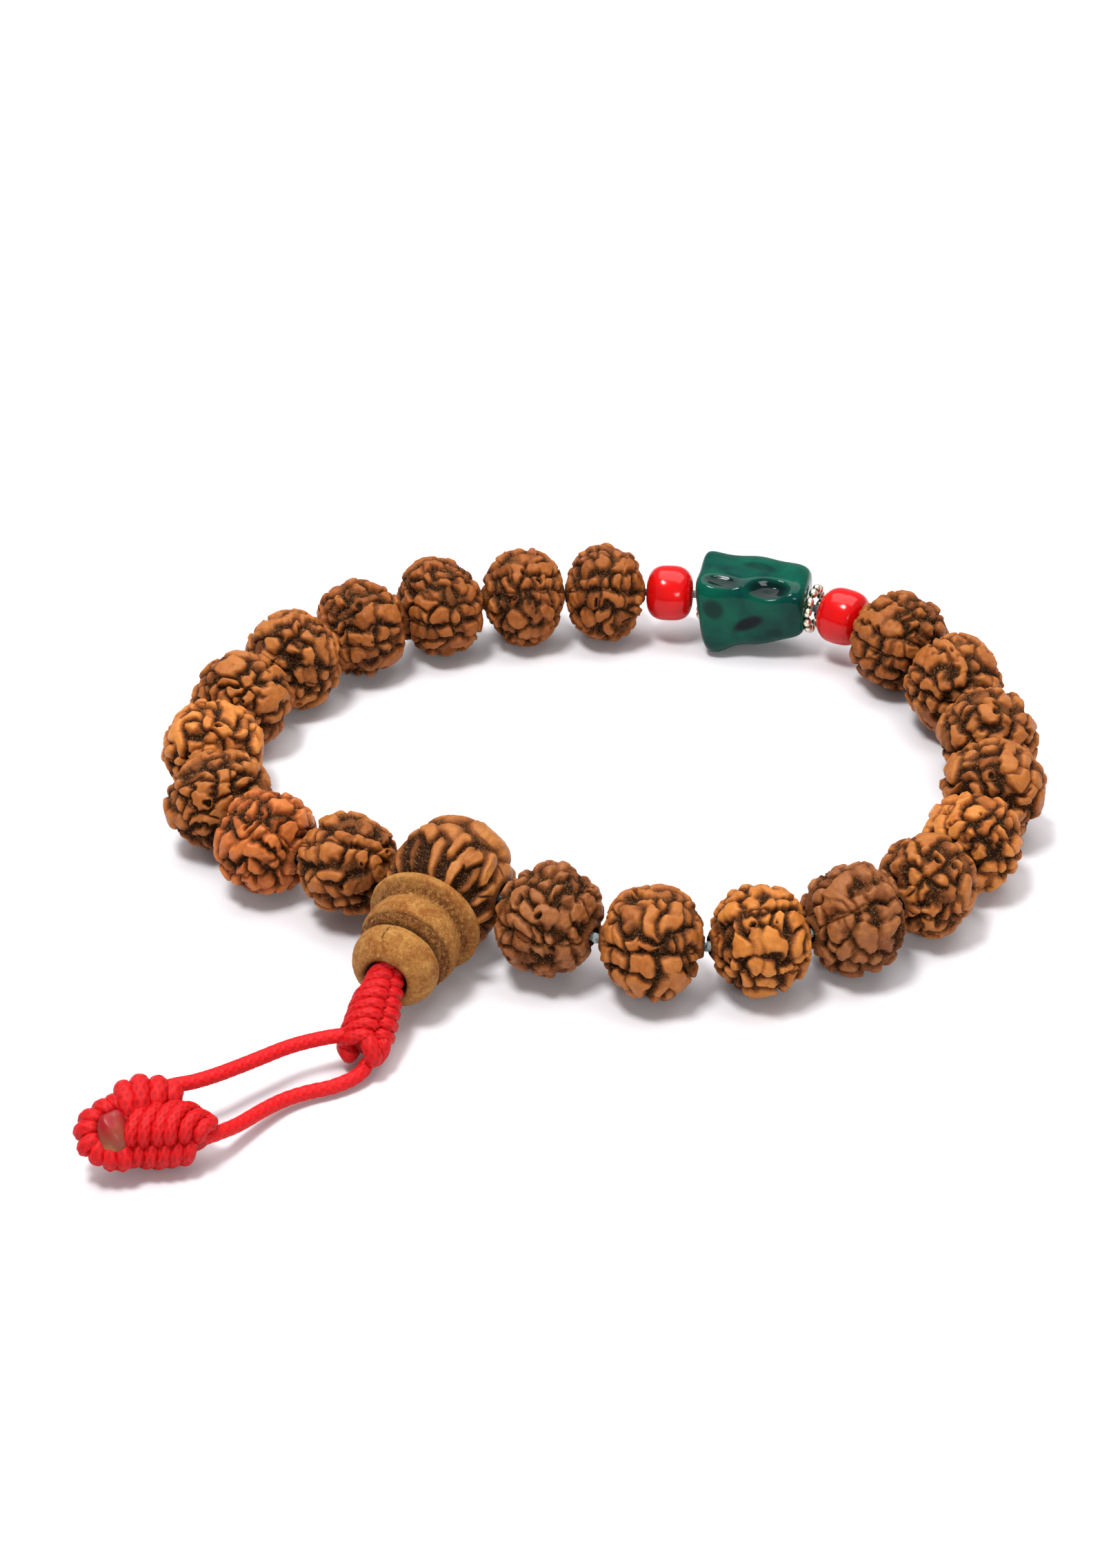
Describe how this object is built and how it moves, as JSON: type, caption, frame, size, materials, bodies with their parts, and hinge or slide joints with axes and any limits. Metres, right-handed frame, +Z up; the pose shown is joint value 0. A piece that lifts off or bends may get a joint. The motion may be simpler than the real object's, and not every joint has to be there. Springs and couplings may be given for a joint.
{
  "type": "mala prayer beads",
  "caption": "Wrist mala: a ring of rudraksha seeds on elastic cord with a guru seed, a pagoda bead, a counter group and a knotted red tail loop.",
  "frame": {"origin": "centre of the bottom of the box round the ring of beads, on the surface that it lies on; the tail is left out of that box", "axes": "+Z up, square to the ring; the guru seed, the pagoda bead and the tail are on the -Y side, towards -X; the counter beads are on the +Y side; +X is along the ring's longer width"},
  "size_m": [0.0829, 0.0908, 0.0115],
  "materials": {
    "seed": "oiled seed with a soft shine, nearly black in its crevices",
    "guru_seed": "oiled seed with a soft shine, nearly black in its crevices",
    "pagoda_wood": "pale turned wood, waxed, fine speckled grain",
    "coral": "glossy",
    "silver": "small polished granules, darkened between them",
    "green_stone": "glossy, with darker patches",
    "elastic": "clear grey, smooth",
    "red_cord": "waxed braid",
    "melted_cord": "glassy, where the cord end was melted"
  },
  "bodies": {
    "ring": {"elastic_cord": "elastic", "elastic_knot": "elastic", "guru_seed": "guru_seed", "tail_core_cord": "red_cord"},
    "seed_01": {"seed_01": "seed"},
    "seed_02": {"seed_02": "seed"},
    "seed_03": {"seed_03": "seed"},
    "seed_04": {"seed_04": "seed"},
    "seed_05": {"seed_05": "seed"},
    "seed_06": {"seed_06": "seed"},
    "seed_07": {"seed_07": "seed"},
    "seed_08": {"seed_08": "seed"},
    "seed_09": {"seed_09": "seed"},
    "seed_10": {"seed_10": "seed"},
    "seed_11": {"seed_11": "seed"},
    "seed_12": {"seed_12": "seed"},
    "seed_13": {"seed_13": "seed"},
    "seed_14": {"seed_14": "seed"},
    "seed_15": {"seed_15": "seed"},
    "seed_16": {"seed_16": "seed"},
    "seed_17": {"seed_17": "seed"},
    "seed_18": {"seed_18": "seed"},
    "seed_19": {"seed_19": "seed"},
    "seed_20": {"seed_20": "seed"},
    "coral_bead_right": {"coral_bead_right": "coral"},
    "silver_spacer_right": {"silver_spacer_right": "silver"},
    "green_nugget_bead": {"green_nugget_bead": "green_stone"},
    "silver_spacer_left": {"silver_spacer_left": "silver"},
    "coral_bead_left": {"coral_bead_left": "coral"},
    "pagoda_bead": {"pagoda_bead": "pagoda_wood"},
    "tail_stem": {"tail_stem_knot": "red_cord"},
    "tail_loop": {"tail_strand_rear": "red_cord", "tail_strand_front": "red_cord", "tail_end_knot": "red_cord", "tail_melted_end": "melted_cord"}
  },
  "joints": [
    {"name": "seed_01_spin", "type": "hinge", "parent": "ring", "child": "seed_01", "pos_m": [-0.00463, -0.0274, 0.00545], "axis": [0.8597, -0.5085, -0.0493], "continuous": true},
    {"name": "seed_02_spin", "type": "hinge", "parent": "ring", "child": "seed_02", "pos_m": [0.00406, -0.0302, 0.005], "axis": [0.9947, -0.1002, -0.0235], "continuous": true},
    {"name": "seed_03_spin", "type": "hinge", "parent": "ring", "child": "seed_03", "pos_m": [0.01316, -0.02977, 0.005], "axis": [0.9787, 0.2055, -0.0028], "continuous": true},
    {"name": "seed_04_spin", "type": "hinge", "parent": "ring", "child": "seed_04", "pos_m": [0.02145, -0.02669, 0.00495], "axis": [0.8766, 0.4811, -0.0111], "continuous": true},
    {"name": "seed_05_spin", "type": "hinge", "parent": "ring", "child": "seed_05", "pos_m": [0.02834, -0.02149, 0.0048], "axis": [0.6961, 0.7179, -0.0104], "continuous": true},
    {"name": "seed_06_spin", "type": "hinge", "parent": "ring", "child": "seed_06", "pos_m": [0.03334, -0.01471, 0.00477], "axis": [0.4815, 0.8764, 0.0059], "continuous": true},
    {"name": "seed_07_spin", "type": "hinge", "parent": "ring", "child": "seed_07", "pos_m": [0.03634, -0.00659, 0.0049], "axis": [0.2109, 0.9775, 0.007], "continuous": true},
    {"name": "seed_08_spin", "type": "hinge", "parent": "ring", "child": "seed_08", "pos_m": [0.03706, 0.00265, 0.0049], "axis": [-0.0468, 0.9989, 0.0051], "continuous": true},
    {"name": "seed_09_spin", "type": "hinge", "parent": "ring", "child": "seed_09", "pos_m": [0.03522, 0.01221, 0.005], "axis": [-0.3243, 0.9459, 0.0101], "continuous": true},
    {"name": "seed_10_spin", "type": "hinge", "parent": "ring", "child": "seed_10", "pos_m": [0.03061, 0.02067, 0.0051], "axis": [-0.6235, 0.7818, 0.0052], "continuous": true},
    {"name": "seed_11_spin", "type": "hinge", "parent": "ring", "child": "seed_11", "pos_m": [0.001, 0.03062, 0.00525], "axis": [-0.9997, -0.026, 0.003], "continuous": true},
    {"name": "seed_12_spin", "type": "hinge", "parent": "ring", "child": "seed_12", "pos_m": [-0.00757, 0.02989, 0.00522], "axis": [-0.9901, -0.1402, -0.0029], "continuous": true},
    {"name": "seed_13_spin", "type": "hinge", "parent": "ring", "child": "seed_13", "pos_m": [-0.01619, 0.02767, 0.0052], "axis": [-0.9355, -0.3532, -0.0041], "continuous": true},
    {"name": "seed_14_spin", "type": "hinge", "parent": "ring", "child": "seed_14", "pos_m": [-0.02406, 0.02323, 0.00515], "axis": [-0.7861, -0.618, -0.0055], "continuous": true},
    {"name": "seed_15_spin", "type": "hinge", "parent": "ring", "child": "seed_15", "pos_m": [-0.03033, 0.01687, 0.0051], "axis": [-0.6048, -0.7963, -0.0042], "continuous": true},
    {"name": "seed_16_spin", "type": "hinge", "parent": "ring", "child": "seed_16", "pos_m": [-0.03469, 0.0091, 0.00507], "axis": [-0.3672, -0.9301, -0.0027], "continuous": true},
    {"name": "seed_17_spin", "type": "hinge", "parent": "ring", "child": "seed_17", "pos_m": [-0.03646, 0.0002, 0.00505], "axis": [-0.0205, -0.9998, -0.0027], "continuous": true},
    {"name": "seed_18_spin", "type": "hinge", "parent": "ring", "child": "seed_18", "pos_m": [-0.03492, -0.00843, 0.00502], "axis": [0.3812, -0.9245, -0.0029], "continuous": true},
    {"name": "seed_19_spin", "type": "hinge", "parent": "ring", "child": "seed_19", "pos_m": [-0.02996, -0.01504, 0.005], "axis": [0.7829, -0.6217, 0.025], "continuous": true},
    {"name": "seed_20_spin", "type": "hinge", "parent": "ring", "child": "seed_20", "pos_m": [-0.0223, -0.01899, 0.00545], "axis": [0.9559, -0.2896, 0.0496], "continuous": true},
    {"name": "coral_bead_right_spin", "type": "hinge", "parent": "ring", "child": "coral_bead_right", "pos_m": [0.02547, 0.02578, 0.0051], "axis": [-0.8457, 0.5337, 0], "continuous": true},
    {"name": "silver_spacer_right_spin", "type": "hinge", "parent": "ring", "child": "silver_spacer_right", "pos_m": [0.02275, 0.02739, 0.0051], "axis": [-0.9109, 0.4127, 0], "continuous": true},
    {"name": "green_nugget_bead_spin", "type": "hinge", "parent": "ring", "child": "green_nugget_bead", "pos_m": [0.01687, 0.02899, 0.0051], "axis": [-0.9696, 0.2448, 0], "continuous": true},
    {"name": "silver_spacer_left_spin", "type": "hinge", "parent": "ring", "child": "silver_spacer_left", "pos_m": [0.01093, 0.0304, 0.0051], "axis": [-0.9945, 0.101, 0.0294], "continuous": true},
    {"name": "coral_bead_left_spin", "type": "hinge", "parent": "ring", "child": "coral_bead_left", "pos_m": [0.00777, 0.03059, 0.00517], "axis": [-0.9985, 0.0529, 0.0148], "continuous": true},
    {"name": "pagoda_bead_spin", "type": "hinge", "parent": "ring", "child": "pagoda_bead", "pos_m": [-0.01325, -0.02269, 0.0059], "axis": [-0.37, -0.9251, -0.085], "continuous": true},
    {"name": "tail_swing", "type": "hinge", "parent": "ring", "child": "tail_stem", "pos_m": [-0.01821, -0.03509, 0.00476], "axis": [0, 0, 1], "range_deg": [-25, 25]},
    {"name": "tail_loop_lift", "type": "hinge", "parent": "tail_stem", "child": "tail_loop", "pos_m": [-0.0197, -0.0403, 0.0023], "axis": [-0.57, 0.8216, 0], "range_deg": [0, 60]}
  ]
}
